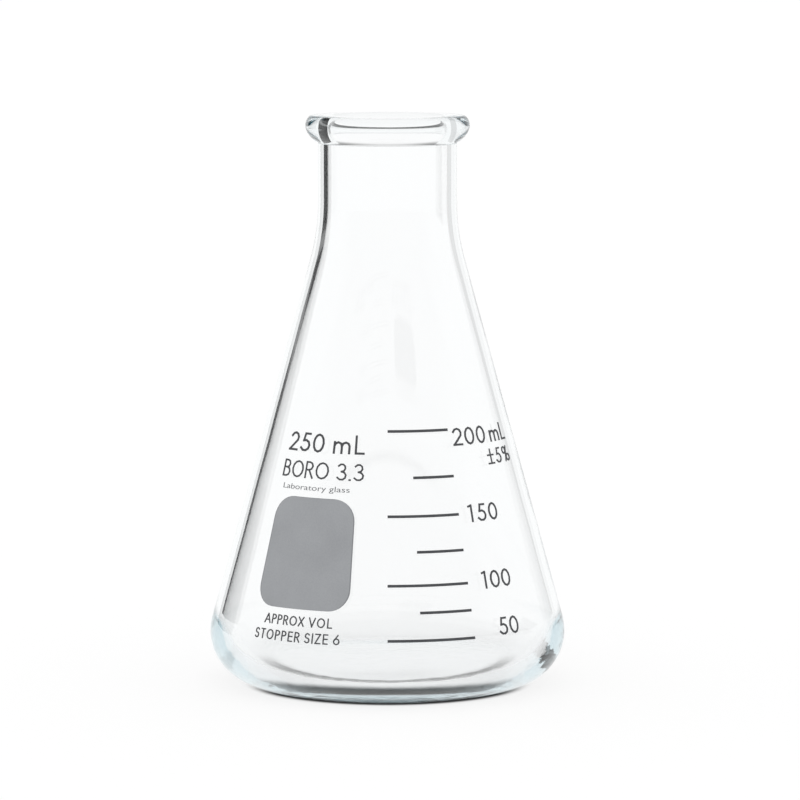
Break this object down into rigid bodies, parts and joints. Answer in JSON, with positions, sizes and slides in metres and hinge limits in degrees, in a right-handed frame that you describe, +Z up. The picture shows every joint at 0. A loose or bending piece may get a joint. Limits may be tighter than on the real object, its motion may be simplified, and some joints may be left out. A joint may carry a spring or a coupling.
{
  "type": "erlenmeyer flask",
  "caption": "Conical glass laboratory flask with a flat base, short beaded neck, and grey fired enamel graduations, lettering and writing spot",
  "frame": {"origin": "centre of the foot, on the surface the flask stands on", "axes": "+Z up along the flask's axis, -Y towards the marked front"},
  "size_m": [0.082, 0.082, 0.131],
  "materials": {
    "glass": "clear, fire polished",
    "dark_enamel": "matte fired enamel",
    "spot_enamel": "matte fired enamel, slightly toothed for pencil"
  },
  "bodies": {
    "root": {"flask_glass": "glass", "capacity_1_2": "dark_enamel", "capacity_2_5": "dark_enamel", "capacity_3_0": "dark_enamel", "capacity_4_m": "dark_enamel", "capacity_5_L": "dark_enamel", "glass_type_1_B": "dark_enamel", "glass_type_2_O": "dark_enamel", "glass_type_3_R": "dark_enamel", "glass_type_4_O": "dark_enamel", "glass_type_5_3": "dark_enamel", "glass_type_6_point": "dark_enamel", "glass_type_7_3": "dark_enamel", "graduation_100": "dark_enamel", "graduation_125": "dark_enamel", "graduation_150": "dark_enamel", "graduation_175": "dark_enamel", "graduation_200": "dark_enamel", "graduation_50": "dark_enamel", "graduation_75": "dark_enamel", "level_100_1_1": "dark_enamel", "level_100_2_0": "dark_enamel", "level_100_3_0": "dark_enamel", "level_150_1_1": "dark_enamel", "level_150_2_5": "dark_enamel", "level_150_3_0": "dark_enamel", "level_200_1_2": "dark_enamel", "level_200_2_0": "dark_enamel", "level_200_3_0": "dark_enamel", "level_200_4_m": "dark_enamel", "level_200_5_L": "dark_enamel", "level_50_1_5": "dark_enamel", "level_50_2_0": "dark_enamel", "marking_spot": "spot_enamel", "stopper_note_10_Z": "dark_enamel", "stopper_note_11_E": "dark_enamel", "stopper_note_12_6": "dark_enamel", "stopper_note_1_S": "dark_enamel", "stopper_note_2_T": "dark_enamel", "stopper_note_3_O": "dark_enamel", "stopper_note_4_P": "dark_enamel", "stopper_note_5_P": "dark_enamel", "stopper_note_6_E": "dark_enamel", "stopper_note_7_R": "dark_enamel", "stopper_note_8_S": "dark_enamel", "stopper_note_9_I": "dark_enamel", "tolerance_1_plus_minus": "dark_enamel", "tolerance_2_5": "dark_enamel", "tolerance_3_percent": "dark_enamel", "volume_note_1_A": "dark_enamel", "volume_note_2_P": "dark_enamel", "volume_note_3_P": "dark_enamel", "volume_note_4_R": "dark_enamel", "volume_note_5_O": "dark_enamel", "volume_note_6_X": "dark_enamel", "volume_note_7_V": "dark_enamel", "volume_note_8_O": "dark_enamel", "volume_note_9_L": "dark_enamel"}
  },
  "joints": []
}
